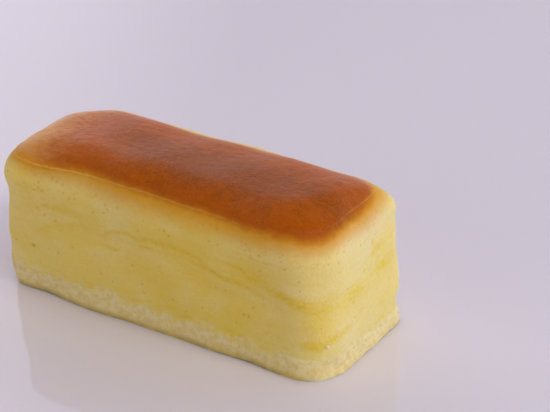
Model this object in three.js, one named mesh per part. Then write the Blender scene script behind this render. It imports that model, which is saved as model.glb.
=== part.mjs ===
// A baked cheesecake bar: a soft, crowned block of cheesecake, as baked in a small oblong mould,
// on a thin sponge layer.
// Units are millimetres. +X runs along the bar, -Y is its long front side, +Z is up.
// The origin is the middle of the footprint, on the surface that the bar stands on.
import * as THREE from 'three';
import { mergeVertices } from 'three/addons/utils/BufferGeometryUtils.js';

// Driving dimensions
const LENGTH = 100;
const WIDTH = 39.4;
const SIDE_HEIGHT = 40.2; // up to the top's outer edge, before the crown is added
const SPONGE_THICKNESS = 5.9;
const LAYER_GAP = 0.3; // between the two solids

// The rounding where the sides turn into the top, and where the layers and the foot end
const SHOULDER = { inset: 11, rise: 9.7 };
const LAYER_EDGE = { inset: 0.7, rise: 0.8 };
const FOOT_EDGE = { inset: 1.3, rise: 1.2 };

// Radii of the upright corners, seen from above, at the top and at the foot
const CORNER = {
  frontLeft: { top: 4.1, foot: 4.1 },
  frontRight: { top: 10.8, foot: 9.2 },
  backRight: { top: 5.5, foot: 5.9 },
  backLeft: { top: 10.7, foot: 9 },
};
const CORNER_GROWTH = 0.25; // how fast the outline's corners open out towards the middle of the top

// The top is crowned from front to back, sags very slightly along its length, and falls towards the right end
const CROWN = { across: 1.65, sag: 0.2, fall: 0.9 };

// Low rises and hollows of the top: where they are, how far they reach along X and Y, and their size
const BUMPS = [
  { at: [10, 16], reach: [14, 8], size: 0.4 },
  { at: [-25, 16], reach: [12, 8], size: 0.25 },
  { at: [45, 16], reach: [8, 8], size: -0.5 },
];

// The soft sides spread a little towards the foot, swell under the shoulder and pinch in at the sponge
const SPREAD = 1.0;
const SWELL = { out: 0.3, height: 31.5, reach: 5 };
const PINCH = { out: -0.3, height: SPONGE_THICKNESS + 0.2, reach: 1.1 };

// The thin raised crease of skin round the top, as an angle up the shoulder, in degrees. It wanders: it runs
// lower along the front and higher over the left end and the back. The sizes of the shifts are degrees too.
const CREASE = { angle: 41, reach: 2.6, out: 0.25 };
const CREASE_SHIFTS = [
  { at: [-40, -20], reach: [12, 12], size: -7.5 },
  { at: [-15, -20], reach: [14, 14], size: -2.5 },
  { at: [10, -20], reach: [14, 14], size: -3.5 },
  { at: [32, -20], reach: [12, 12], size: -7 },
  { at: [50, 0], reach: [14, 14], size: 1.5 },
  { at: [0, 20], reach: [60, 10], size: 19 },
  { at: [-50, 0], reach: [8, 14], size: 11 },
];

// The sponge layer is thicker at the left end, and its upper side is uneven
const SPONGE_SLOPE = -0.012;
const SPONGE_WAVES = [
  { size: 0.35, along: 0.21, across: 0.1, start: 0.4 },
  { size: 0.22, along: 0.47, across: -0.33, start: 2.1 },
];
const WAVE_FADE = 9; // height over which the cheesecake above evens the waves out

// Broad unevenness of the whole surface: size, and radians for each millimetre along X, Y and Z
const UNEVEN = [
  { size: 0.14, k: [0.16, 0.11, 0.09], start: 0.7 },
  { size: 0.12, k: [-0.09, 0.21, 0.17], start: 2.9 },
  { size: 0.09, k: [0.31, -0.17, 0.26], start: 4.4 },
  { size: 0.07, k: [0.23, 0.37, -0.41], start: 1.6 },
];

// Single dents and bulges of the sides: where they are, how far they reach, and how far they stand out
const DENTS = [
  { at: [-50, -10, 28], reach: [9, 22, 2.6], out: -0.35 }, // fold round the left end
  { at: [-50, -10, 21], reach: [10, 22, 2.6], out: 0.35 },
  { at: [-50, -10, 15.5], reach: [9, 22, 4], out: 0.5 },
  { at: [-50, -12, 7.5], reach: [9, 18, 3.5], out: 0.55 },
  { at: [-12, -20, 21.5], reach: [30, 4, 1.6], out: -0.3 }, // fold along the front
  { at: [30, -20, 17.5], reach: [22, 4, 1.8], out: -0.32 },
  { at: [50, 14, 6.2], reach: [7, 9, 1.7], out: -0.65 }, // fold above the sponge at the right end
  { at: [50, 12, 10], reach: [7, 12, 3], out: 0.2 },
  { at: [50, 12, 16], reach: [7, 12, 4], out: 0.3 },
  { at: [50, 12, 30], reach: [7, 10, 4], out: -0.8 },
  { at: [50, -14, 2.5], reach: [6, 5, 3], out: -0.85 },
  { at: [40, -20, 2.5], reach: [9, 6, 4], out: 0.4 },
  { at: [27, -20, 1], reach: [6, 5, 2.2], out: -0.5 }, // worn foot
  { at: [-38, -20, 0.5], reach: [6, 5, 2.2], out: -0.7 },
  { at: [-12, -20, 1.5], reach: [9, 5, 3], out: 0.3 },
  { at: [-18, 20, 19], reach: [24, 5, 2.4], out: -0.35 }, // fold along the back
  { at: [30, 20, 26], reach: [14, 5, 5], out: 0.4 },
];

// Places where the foot's edge has worn off and stands clear of the surface below. The rest lies flat on it.
const LIFT_FROM = 0.08; // how much of each lift's skirt is levelled
const FOOT_LIFTS = [
  { at: [-38, -20], reach: [6, 4], size: 0.7 },
  { at: [27, -20], reach: [7, 4], size: 0.6 },
  { at: [-25, -20], reach: [7, 4], size: 0.5 },
  { at: [50, -10], reach: [4, 7], size: 0.4 },
];

const bell = (distance, reach) => Math.exp(-((distance / reach) ** 2));
const blend = (from, to, share) => from + (to - from) * share;

const { clamp, degToRad, radToDeg } = THREE.MathUtils;

// The height of a place on a list of hills and hollows
function hills(list, x, y) {
  const share = (hill) => bell(x - hill.at[0], hill.reach[0]) * bell(y - hill.at[1], hill.reach[1]);
  return list.reduce((sum, hill) => sum + hill.size * share(hill), 0);
}

// Moves a point near a box's edge onto that edge's rounding. inset is measured inwards from the wall, rise
// from the end of the box, and the angle runs from 0 on the wall to 90 on the end.
function roundEdge(inset, rise, edge, turn = (angle) => angle) {
  const in01 = 1 - inset / edge.inset;
  const up01 = 1 - rise / edge.rise;
  if (in01 <= 0 || up01 <= 0) return { inset, rise, angle: up01 > 0 ? 90 : 0 };
  const angle = radToDeg(Math.atan2(up01, in01));
  const turned = degToRad(turn(angle));
  return { inset: edge.inset * (1 - Math.cos(turned)), rise: edge.rise * (1 - Math.sin(turned)), angle };
}

// The angle up the shoulder once it has moved with the crease, with both ends of the shoulder left in place
function withCrease(angle, x, y) {
  const share = Math.min(angle / CREASE.angle, (90 - angle) / (90 - CREASE.angle));
  return angle + hills(CREASE_SHIFTS, x, y) * share;
}

function cornerRadius(x, y, height) {
  const side = x < 0 ? 'Left' : 'Right';
  const corner = CORNER[(y < 0 ? 'front' : 'back') + side];
  return blend(corner.foot, corner.top, clamp(height / SIDE_HEIGHT, 0, 1));
}

function unevenness(x, y, z) {
  const phase = (wave) => wave.k[0] * x + wave.k[1] * y + wave.k[2] * z + wave.start;
  return UNEVEN.reduce((sum, wave) => sum + wave.size * Math.sin(phase(wave)), 0);
}

// How far the wall stands out from the plain block at a place
function wallOffset(x, y, z) {
  const drop = 1 - z / SIDE_HEIGHT;
  let out = SPREAD * (drop * drop - 1);
  out += SWELL.out * bell(z - SWELL.height, SWELL.reach);
  out += PINCH.out * bell(z - PINCH.height, PINCH.reach);
  for (const dent of DENTS) {
    const [dx, dy, dz] = [x - dent.at[0], y - dent.at[1], z - dent.at[2]];
    out += dent.out * bell(dx, dent.reach[0]) * bell(dy, dent.reach[1]) * bell(dz, dent.reach[2]);
  }
  return out;
}

function spongeWave(x, y) {
  const phase = (wave) => wave.along * x + wave.across * y + wave.start;
  return SPONGE_WAVES.reduce((sum, wave) => sum + wave.size * Math.sin(phase(wave)), SPONGE_SLOPE * x);
}

// The place on the bar's surface of a point on the plain block's surface, for one layer of it
function onSurface(x, y, z, layer) {
  const halfX = LENGTH / 2;
  const halfY = WIDTH / 2;
  const depth = Math.max(Math.min(halfX - Math.abs(x), halfY - Math.abs(y)), 0);
  const turn = (angle) => (layer.crowned ? withCrease(angle, x, y) : angle);
  const top = roundEdge(depth, layer.top - z, layer.topEdge, turn);
  const foot = roundEdge(depth, z - layer.bottom, layer.bottomEdge);
  const upper = layer.top - z < z - layer.bottom;
  const inset = upper ? top.inset : foot.inset;
  const height = upper ? layer.top - top.rise : layer.bottom + foot.rise;

  // The rectangle through the point, moved to its new inset and given round corners
  const out = wallOffset(x, y, height) + unevenness(x, y, height);
  const ringX = Math.max(halfX + out - inset, 0);
  const ringY = Math.max(halfY + out - inset, 0);
  const onRingX = depth < halfX ? (x / (halfX - depth)) * ringX : 0;
  const onRingY = depth < halfY ? (y / (halfY - depth)) * ringY : 0;
  const opened = layer.crowned && upper ? CORNER_GROWTH * inset : 0;
  const radius = Math.min(cornerRadius(x, y, height) + opened, ringX, ringY);
  const centreX = clamp(onRingX, radius - ringX, ringX - radius);
  const centreY = clamp(onRingY, radius - ringY, ringY - radius);
  const place = new THREE.Vector2(onRingX - centreX, onRingY - centreY);
  if (place.x !== 0 && place.y !== 0) place.setLength(radius);
  place.x += centreX;
  place.y += centreY;

  let rise = 0;
  if (layer.crowned) {
    const share = clamp(1 - (layer.top - height) / SHOULDER.rise, 0, 1);
    rise += share * CROWN.across * (1 - (place.y / halfY) ** 2);
    rise -= share * CROWN.sag * (1 - (place.x / halfX) ** 2);
    rise -= (share * CROWN.fall * place.x) / halfX;
    rise += share * (hills(BUMPS, place.x, place.y) + unevenness(place.x, place.y, height));
    const creased = upper && depth < SHOULDER.inset;
    const crease = creased ? CREASE.out * Math.SQRT1_2 * bell(top.angle - CREASE.angle, CREASE.reach) : 0;
    rise += crease;
    place.multiplyScalar(1 + crease / Math.max(place.length(), 1));
    rise += spongeWave(place.x, place.y) * Math.max(1 - (height - layer.bottom) / WAVE_FADE, 0) ** 2;
  } else {
    rise += (spongeWave(place.x, place.y) * height) / layer.top;
    const lift = Math.max(hills(FOOT_LIFTS, place.x, place.y) - LIFT_FROM, 0);
    rise += lift * Math.max(1 - height / layer.top, 0);
  }
  return new THREE.Vector3(place.x, place.y, height + rise);
}

// Grid lines of the block: close together in its edges, wider between
const SPACING = { along: 4, across: 3, cheesecake: 2.7, sponge: 2 };
const FOOT_ROWS = [0, 0.4, 1];
const EDGE_ROWS = [0.6, 1];
const ringInset = (angle) => SHOULDER.inset * (1 - 1 / Math.tan(degToRad(angle)));
const TOP_RINGS = [45, 50, 56, 63, 71, 80, 90].map(ringInset);
const SHOULDER_RINGS = [9, 18, 27, 34, CREASE.angle - 2, CREASE.angle, CREASE.angle + 2, 45];

function linesAcross(half, step) {
  const inner = half - SHOULDER.inset;
  const count = 2 * Math.round(inner / step);
  const middle = Array.from({ length: count - 1 }, (_, i) => blend(-inner, inner, (i + 1) / count));
  return [...TOP_RINGS.map((d) => d - half), ...middle, ...TOP_RINGS.map((d) => half - d).reverse()];
}

function linesUp(layer) {
  const footEdge = FOOT_ROWS.map((share) => layer.bottom + share * layer.bottomEdge.rise);
  const plainFrom = layer.bottom + layer.bottomEdge.rise;
  const plainTo = layer.top - layer.topEdge.rise;
  const count = Math.round((plainTo - plainFrom) / layer.spacing);
  const plain = Array.from({ length: count }, (_, i) => blend(plainFrom, plainTo, (i + 1) / count));
  const topEdge = layer.crowned
    ? SHOULDER_RINGS.map((angle) => plainTo + layer.topEdge.rise * Math.tan(degToRad(angle)))
    : EDGE_ROWS.map((share) => plainTo + share * layer.topEdge.rise);
  return [...footEdge, ...plain, ...topEdge];
}

// One layer as a closed solid: a box whose grid lines are set out and then moved onto the surface
function layerGeometry(layer) {
  const across = [linesAcross(LENGTH / 2, SPACING.along), linesAcross(WIDTH / 2, SPACING.across)];
  const lines = [...across, linesUp(layer)];
  const box = new THREE.BoxGeometry(1, 1, 1, ...lines.map((values) => values.length - 1));
  const position = box.attributes.position;
  for (let i = 0; i < position.count; i += 1) {
    const [x, y, z] = lines.map((values, axis) => {
      const share = position.getComponent(i, axis) + 0.5;
      return values[Math.round(share * (values.length - 1))];
    });
    const place = onSurface(x, y, z, layer);
    position.setXYZ(i, place.x, place.y, place.z);
  }
  box.deleteAttribute('normal');
  box.deleteAttribute('uv');
  const solid = mergeVertices(box, 1e-5);
  solid.computeVertexNormals();
  return solid;
}

const sponge = {
  name: 'sponge_base',
  bottom: 0,
  top: SPONGE_THICKNESS,
  bottomEdge: FOOT_EDGE,
  topEdge: LAYER_EDGE,
  crowned: false,
  spacing: SPACING.sponge,
  color: 0xd9c894,
};
const cheesecake = {
  name: 'cheesecake_body',
  bottom: SPONGE_THICKNESS + LAYER_GAP,
  top: SIDE_HEIGHT,
  bottomEdge: LAYER_EDGE,
  topEdge: SHOULDER,
  crowned: true,
  spacing: SPACING.cheesecake,
  color: 0xe6cf6e,
};

const bar = new THREE.Group();
for (const layer of [sponge, cheesecake]) {
  const material = new THREE.MeshStandardMaterial({ color: layer.color, roughness: 0.7, metalness: 0 });
  const mesh = new THREE.Mesh(layerGeometry(layer), material);
  mesh.name = layer.name;
  bar.add(mesh);
}

// Centres the footprint on the origin, which the uneven sides would otherwise miss a little
const bounds = new THREE.Box3().setFromObject(bar);
const centre = bounds.getCenter(new THREE.Vector3());
bar.position.set(-centre.x, -centre.y, 0);

export default bar;
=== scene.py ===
"""Looks of a baked cheesecake bar: a soft, crowned block with a browned, creased top, on a thin sponge layer.

The form is worked out in millimetres and the meshes are made in metres. As in the frame, +X runs along the
bar, -Y is its long front side and +Z is up. A place on a side is given by its distance round the plain block
that the form starts from, measured from the front left corner towards +X, and by its height.
"""
import math
from collections import namedtuple

import bmesh
import bpy
import numpy as np
from mathutils import Matrix, Vector, kdtree, noise


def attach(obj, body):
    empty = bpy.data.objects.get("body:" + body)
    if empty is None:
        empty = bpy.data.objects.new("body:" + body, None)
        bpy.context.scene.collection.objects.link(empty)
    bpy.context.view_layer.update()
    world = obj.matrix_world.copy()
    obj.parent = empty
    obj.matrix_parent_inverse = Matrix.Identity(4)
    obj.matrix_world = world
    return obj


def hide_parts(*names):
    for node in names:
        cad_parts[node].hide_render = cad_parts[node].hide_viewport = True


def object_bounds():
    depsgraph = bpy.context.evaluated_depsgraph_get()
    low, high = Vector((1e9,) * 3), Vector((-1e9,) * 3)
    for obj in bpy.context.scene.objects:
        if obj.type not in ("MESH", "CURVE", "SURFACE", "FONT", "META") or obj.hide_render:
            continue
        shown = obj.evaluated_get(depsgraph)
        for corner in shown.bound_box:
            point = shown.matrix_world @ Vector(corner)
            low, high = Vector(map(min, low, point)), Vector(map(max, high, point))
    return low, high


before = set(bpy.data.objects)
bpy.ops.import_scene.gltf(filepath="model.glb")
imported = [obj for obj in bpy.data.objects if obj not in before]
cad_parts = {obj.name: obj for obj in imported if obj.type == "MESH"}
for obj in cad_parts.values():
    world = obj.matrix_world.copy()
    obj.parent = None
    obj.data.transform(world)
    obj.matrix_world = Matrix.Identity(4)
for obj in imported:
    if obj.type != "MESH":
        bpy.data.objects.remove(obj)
CAD_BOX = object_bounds()
MM = 0.001

# ---- Form, in millimetres ----
LENGTH = 100.0
WIDTH = 39.4
SIDE_HEIGHT = 40.2
SPONGE_THICKNESS = 6.05
HALF_X = LENGTH / 2
HALF_Y = WIDTH / 2
PERIMETER = 2 * (LENGTH + WIDTH)
SEAM_GAP = 0.03
TINY = 1e-9
# The stage floor hides the relief of the underside, and no crumb lies lower than it
FLOOR_HEIGHT = 0.1

Edge = namedtuple("Edge", "inset rise")
Layer = namedtuple("Layer", "bottom top bottom_edge top_edge crowned")
Hill = namedtuple("Hill", "at reach size")
Dent = namedtuple("Dent", "at reach out")
Wave = namedtuple("Wave", "size k start")

SHOULDER = Edge(11.0, 9.7)
FOOT_EDGE = Edge(0.2, 0.18)
SHOULDER_RADIUS = (SHOULDER.inset + SHOULDER.rise) / 2

# The corners' radii, seen from above, at the top and at the foot, and how they grow inwards over the top
CORNER_TOP = {"front_left": 4.1, "front_right": 10.8, "back_right": 5.5, "back_left": 10.7}
CORNER_FOOT = {"front_left": 4.1, "front_right": 9.2, "back_right": 5.9, "back_left": 9.0}
CORNER_GROWTH = 0.25

# How far the top rises from its long edges to its middle, sags lengthwise, and falls to the right
CROWN_ACROSS = 1.65
CROWN_SAG = 0.2
CROWN_FALL = 0.9
BUMPS = [
    Hill((10, 16), (14, 8), 0.4),
    Hill((-25, 16), (12, 8), 0.25),
    Hill((45, 16), (8, 8), -0.5),
]

# How far the foot stands out past the top, and the swelling all round under the shoulder
SPREAD = 1.0
SWELL = Hill(31.5, 5.0, 0.3)

# How far up the shoulder the crease is, in degrees, and where it is higher or lower
CREASE_ANGLE = 41.0
CREASE_SHIFTS = [
    Hill((-40, -20), (12, 12), -7.5),
    Hill((-15, -20), (14, 14), -2.5),
    Hill((10, -20), (14, 14), -3.5),
    Hill((32, -20), (12, 12), -7.0),
    Hill((50, 0), (14, 14), 1.5),
    Hill((0, 20), (60, 10), 19.0),
    Hill((-50, 0), (8, 14), 11.0),
]

# How the seam between the layers rises and falls; the batter above it follows up to the fade's height
SEAM_SLOPE = -0.012
SEAM_WAVES = [
    Wave(0.35, (0.21, 0.1), 0.4),
    Wave(0.22, (0.47, -0.33), 2.1),
]
SEAM_HILLS = [Hill((50, 12), (12, 14), -0.7)]
WAVE_FADE = 9.0

# The unevenness of the whole bar
UNEVEN = [
    Wave(0.14, (0.16, 0.11, 0.09), 0.7),
    Wave(0.12, (-0.09, 0.21, 0.17), 2.9),
    Wave(0.09, (0.31, -0.17, 0.26), 4.4),
    Wave(0.07, (0.23, 0.37, -0.41), 1.6),
]

# Dents and swellings of the walls, and places where the foot is worn and stands clear of the ground
DENTS = [
    Dent((-50, -10, 28), (9, 22, 2.6), -0.35),
    Dent((-50, -10, 21), (10, 22, 2.6), 0.35),
    Dent((-50, -10, 15.5), (9, 22, 4), 0.5),
    Dent((-50, -12, 7.5), (9, 18, 3.5), 0.55),
    Dent((-12, -20, 21.5), (30, 4, 1.6), -0.3),
    Dent((30, -20, 17.5), (22, 4, 1.8), -0.32),
    Dent((50, 14, 7.6), (7, 9, 1.7), -0.5),
    Dent((50, 12, 11), (7, 12, 3), 0.2),
    Dent((50, 12, 16), (7, 12, 4), 0.3),
    Dent((50, 12, 30), (7, 10, 4), -0.8),
    Dent((50, -14, 2.5), (6, 5, 3), -0.85),
    Dent((40, -20, 2.5), (9, 6, 4), 0.4),
    Dent((27, -20, 1), (6, 5, 2.2), -0.5),
    Dent((-38, -20, 0.5), (6, 5, 2.2), -0.7),
    Dent((-50, -20, -0.5), (5, 5, 2.2), -0.9),
    Dent((-12, -20, 1.5), (9, 5, 3), 0.3),
    Dent((-50, -19, 35.5), (6, 6, 2.6), 0.5),
    Dent((-18, 20, 19), (24, 5, 2.4), -0.35),
    Dent((30, 20, 26), (14, 5, 5), 0.4),
]
FOOT_LIFTS = [
    Hill((-38, -20), (6, 4), 0.25),
    Hill((27, -20), (7, 4), 0.25),
    Hill((-25, -20), (7, 4), 0.15),
]

SPONGE = Layer(0.0, SPONGE_THICKNESS - SEAM_GAP / 2, FOOT_EDGE, None, False)
CHEESECAKE = Layer(SPONGE_THICKNESS + SEAM_GAP / 2, SIDE_HEIGHT, None, SHOULDER, True)


def bell(distance, reach):
    return np.exp(-((distance / reach) ** 2))


def smooth_step(value, start, end):
    share = np.clip((value - start) / (end - start), 0.0, 1.0)
    return share * share * (3 - 2 * share)


def hills(list_of_hills, x, y):
    """The sum of hills and hollows at places."""
    return sum(h.size * bell(x - h.at[0], h.reach[0]) * bell(y - h.at[1], h.reach[1]) for h in list_of_hills)


def waves(list_of_waves, *coordinates):
    """The sum of plain waves at places."""
    total = 0.0
    for wave in list_of_waves:
        phase = wave.start + sum(k * c for k, c in zip(wave.k, coordinates))
        total = total + wave.size * np.sin(phase)
    return total


def with_crease(angle, x, y):
    """The angle up the shoulder once it has moved with the crease."""
    share = np.minimum(angle / CREASE_ANGLE, (90 - angle) / (90 - CREASE_ANGLE))
    return angle + hills(CREASE_SHIFTS, x, y) * share


def round_edge(inset, rise, edge, turn=None):
    """Moves points near a box's edge onto its rounding; the angle is 0 on the wall and 90 on the end."""
    if edge is None:
        return inset, rise, np.zeros_like(inset)
    inwards = 1 - inset / edge.inset
    upwards = 1 - rise / edge.rise
    rounded = (inwards > 0) & (upwards > 0)
    angle = np.degrees(np.arctan2(upwards, inwards))
    turned = np.radians(turn(angle) if turn else angle)
    new_inset = np.where(rounded, edge.inset * (1 - np.cos(turned)), inset)
    new_rise = np.where(rounded, edge.rise * (1 - np.sin(turned)), rise)
    plain_angle = np.where(upwards > 0, 90.0, 0.0)
    return new_inset, new_rise, np.where(rounded, angle, plain_angle)


def corner_radius(x, y, height):
    share = np.clip(height / SIDE_HEIGHT, 0, 1)

    def radius(name):
        return CORNER_FOOT[name] + (CORNER_TOP[name] - CORNER_FOOT[name]) * share

    left = np.where(y < 0, radius("front_left"), radius("back_left"))
    right = np.where(y < 0, radius("front_right"), radius("back_right"))
    return np.where(x < 0, left, right)


def wall_offset(x, y, z):
    """How far the wall stands out from the plain block."""
    out = SPREAD * ((1 - z / SIDE_HEIGHT) ** 2 - 1)
    out = out + SWELL.size * bell(z - SWELL.at, SWELL.reach)
    for dent in DENTS:
        shares = (bell(c - at, reach) for c, at, reach in zip((x, y, z), dent.at, dent.reach))
        out = out + dent.out * math.prod(shares)
    return out


def seam_wave(x, y):
    return SEAM_SLOPE * x + waves(SEAM_WAVES, x, y) + hills(SEAM_HILLS, x, y)


def on_surface(block, layer):
    """Moves points of the plain block onto the bar's surface.

    Returns their places and their distances from the crease, along the surface, upwards positive.
    """
    x, y, z = block.T
    depth = np.clip(np.minimum(HALF_X - abs(x), HALF_Y - abs(y)), 0, None)

    def turn(angle):
        return with_crease(angle, x, y) if layer.crowned else angle

    top_inset, top_rise, angle = round_edge(depth, layer.top - z, layer.top_edge, turn)
    foot_inset, foot_rise, _ = round_edge(depth, z - layer.bottom, layer.bottom_edge)
    upper = layer.top - z < z - layer.bottom
    inset = np.where(upper, top_inset, foot_inset)
    height = np.where(upper, layer.top - top_rise, layer.bottom + foot_rise)

    out = wall_offset(x, y, height) + waves(UNEVEN, x, y, height)
    out = out * np.clip((HALF_Y - inset) / (HALF_Y - SHOULDER.inset), 0, 1)
    ring_x = HALF_X + out - inset
    ring_y = HALF_Y + out - inset
    on_x = x / np.maximum(HALF_X - depth, TINY) * ring_x
    on_y = np.where(depth < HALF_Y - TINY, y / np.maximum(HALF_Y - depth, TINY) * ring_y, 0)
    radius = corner_radius(x, y, height)
    if layer.crowned:
        radius = radius + np.where(upper, CORNER_GROWTH * inset, 0)
    radius = np.minimum(radius, np.minimum(ring_x, ring_y))
    centre_x = np.clip(on_x, radius - ring_x, ring_x - radius)
    centre_y = np.clip(on_y, radius - ring_y, ring_y - radius)
    from_x = on_x - centre_x
    from_y = on_y - centre_y
    in_corner = (from_x != 0) & (from_y != 0)
    scale = np.where(in_corner, radius / np.maximum(np.hypot(from_x, from_y), TINY), 1)
    place_x = centre_x + from_x * scale
    place_y = centre_y + from_y * scale

    if layer.crowned:
        share = np.clip(1 - (layer.top - height) / SHOULDER.rise, 0, 1)
        rise = CROWN_ACROSS * (1 - (place_y / HALF_Y) ** 2) - CROWN_SAG * (1 - (place_x / HALF_X) ** 2)
        rise = rise - CROWN_FALL * place_x / HALF_X + hills(BUMPS, place_x, place_y)
        rise = share * (rise + waves(UNEVEN, place_x, place_y, height))
        fade = np.clip(1 - (height - layer.bottom) / WAVE_FADE, 0, None) ** 2
        rise = rise + seam_wave(place_x, place_y) * fade
    else:
        rise = seam_wave(place_x, place_y) * height / layer.top
        rise = rise + hills(FOOT_LIFTS, place_x, place_y) * np.clip(1 - height / layer.top, 0, None)
    return np.stack([place_x, place_y, height + rise], axis=1), crease_distance(x, y, z, depth, angle)


def crease_distance(x, y, z, depth, angle):
    """Distance from the crease along the surface: along the shoulder, and beyond it over the top or down."""
    crease = with_crease(np.full_like(x, CREASE_ANGLE), x, y)
    arc = SHOULDER_RADIUS * np.radians(with_crease(angle, x, y) - crease)
    over_top = np.where(z > SIDE_HEIGHT - SHOULDER.rise, np.clip(depth - SHOULDER.inset, 0, None), 0)
    down_wall = np.clip(SIDE_HEIGHT - SHOULDER.rise - z, 0, None)
    return arc + over_top - down_wall


# ---- Grid of the plain block ----
SPACING = 0.37
SPONGE_SPACING = 0.8 * SPACING
COARSE_SPACING = 2.0
# In degrees up the shoulder: the block's edge, the rows of points round the crease, and how clear of it the
# other rows stay
BLOCK_EDGE_ANGLE = 45.0
CREASE_ROWS = [-2.4, -1.6, -1.0, -0.5, 0.0, 0.5, 1.0, 1.6, 2.4]
CREASE_ROWS_CLEAR = 2.9
# The rows of points up the foot's rounding, as shares of its rise
FOOT_ROWS = [0.0, 0.25, 0.5, 0.75, 1.0]


def even(start, end, step):
    return np.linspace(start, end, max(int(round((end - start) / step)), 1) + 1)


def lines_across(half, step):
    """Lines from one wall to the other: by equal angles over the shoulder, and even between."""
    angles = np.radians(even(BLOCK_EDGE_ANGLE, 90, math.degrees(step / SHOULDER_RADIUS)))
    shoulder = SHOULDER.inset * (1 - 1 / np.tan(angles))
    inner = half - SHOULDER.inset
    return np.concatenate([shoulder - half, even(-inner, inner, step)[1:-1], (half - shoulder)[::-1]])


def lines_level(step):
    """The grid's lines along the bar and across it."""
    return lines_across(HALF_X, step), lines_across(HALF_Y, step)


def lines_up_cheesecake(step):
    wall_top = SIDE_HEIGHT - SHOULDER.rise
    angles = even(0, BLOCK_EDGE_ANGLE, math.degrees(step / SHOULDER_RADIUS))[1:]
    crease = CREASE_ANGLE + np.array(CREASE_ROWS)
    clear = abs(angles - CREASE_ANGLE) > CREASE_ROWS_CLEAR
    angles = np.sort(np.concatenate([angles[clear], crease]))
    shoulder = wall_top + SHOULDER.rise * np.tan(np.radians(angles))
    return np.concatenate([even(CHEESECAKE.bottom, wall_top, step), shoulder])


def lines_up_sponge(step):
    foot = FOOT_EDGE.rise * np.array(FOOT_ROWS)
    return np.concatenate([foot, even(foot[-1], SPONGE.top, step)[1:]])


def block_grid(xs, ys, zs, hidden):
    """The points and faces of a closed box on grid lines; its hidden end is a fan of triangles."""
    counts = (len(xs), len(ys), len(zs))
    index = np.full(counts, -1)
    on_box = np.zeros(counts, dtype=bool)
    on_box[[0, -1], :, :] = True
    on_box[:, [0, -1], :] = True
    ends = [0, -1] if hidden is None else [-1 if hidden == "bottom" else 0]
    on_box[:, :, ends] = True
    index[on_box] = np.arange(on_box.sum())
    i, j, k = np.nonzero(on_box)
    points = np.stack([xs[i], ys[j], zs[k]], axis=1)

    def quads(sheet, outwards):
        a, b, c, d = sheet[:-1, :-1], sheet[1:, :-1], sheet[1:, 1:], sheet[:-1, 1:]
        corners = (a, b, c, d) if outwards else (a, d, c, b)
        return np.stack([corner.ravel() for corner in corners], axis=1)

    faces = [quads(index[:, 0, :], True), quads(index[:, -1, :], False)]
    faces += [quads(index[0, :, :], False), quads(index[-1, :, :], True)]
    if hidden != "bottom":
        faces.append(quads(index[:, :, 0], False))
    if hidden != "top":
        faces.append(quads(index[:, :, -1], True))
    faces = [tuple(face) for face in np.concatenate(faces).tolist()]
    if hidden:
        rim = index[:, :, 0 if hidden == "bottom" else -1]
        loop = np.concatenate([rim[:-1, 0], rim[-1, :-1], rim[:0:-1, -1], rim[0, :0:-1]]).tolist()
        if hidden == "bottom":
            loop.reverse()
        centre = len(points)
        points = np.vstack([points, [0, 0, zs[0] if hidden == "bottom" else zs[-1]]])
        faces += [(loop[n - 1], loop[n], centre) for n in range(len(loop))]
    return points, faces


def block_point(along, height):
    """The point of the plain block's wall at a distance round it."""
    along = along % PERIMETER
    if along < LENGTH:
        return (along - HALF_X, -HALF_Y, height)
    if along < LENGTH + WIDTH:
        return (HALF_X, along - LENGTH - HALF_Y, height)
    if along < 2 * LENGTH + WIDTH:
        return (HALF_X - (along - LENGTH - WIDTH), HALF_Y, height)
    return (-HALF_X, HALF_Y - (along - 2 * LENGTH - WIDTH), height)


# ---- Relief, in millimetres ----
# Noise of a depth, with lumps of a size, or one size for each axis; with a start and an end it is a step that
# goes from 0 to the depth as the noise goes from one to the other
Texture = namedtuple("Texture", "depth size shift octaves start end", defaults=(None, None))

# The relief sinks the surface a little, which keeps its lumps inside the frame's box
RELIEF_BIAS = -0.08

SPONGE_LUMPS = Texture(0.14, 3.0, 11.3, 2)
SPONGE_FLAKES = Texture(0.08, (1.4, 1.4, 1.7), 5.7, 3)
SPONGE_PITS = Texture(0.06, 1.5, 23.1, 2, 0.2, 0.6)
SIDE_SWELLS = Texture(0.09, 7.0, 3.1, 2)
SIDE_GRAIN = Texture(0.03, 1.2, 8.8, 3)
SKIN_WRINKLES = Texture(0.075, (2.4, 1.7, 2.0), 31.0, 4)
SKIN_GRAIN = Texture(0.025, 0.9, 41.0, 2)
SKIN_PITS = Texture(0.03, (1.3, 1.0, 1.2), 51.0, 2, 0.25, 0.6)
SIDE_FOLDS = Texture(1.0, (9.0, 9.0, 0.9), 17.7, 2, 0.12, 0.5)
# The band of shallow folds at mid height, with their depth and how deep they colour the sides
SIDE_FOLD_BAND = Hill(23, 6.0, 0.05)
SIDE_FOLD_COLOUR = 0.2

# The crease's fine raised line: its size, how it wanders and is worn, and where round the bar it shows
CREASE_HEIGHT = 0.15
CREASE_WIDTH = 0.17
CREASE_WANDER = Texture(0.1, 1.3, 61.0, 3)
CREASE_WEAR = Texture(1.0, 1.1, 71.0, 3, -1.1, 0.1)
CREASE_STRENGTH = [
    Hill((-36, -20), (26, 12), 1.0),
    Hill((8, -20), (18, 10), 0.35),
    Hill((50, 3), (12, 12), 0.2),
    Hill((0, 20), (70, 14), 0.7),
    Hill((-50, 5), (14, 16), 0.5),
]

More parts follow.
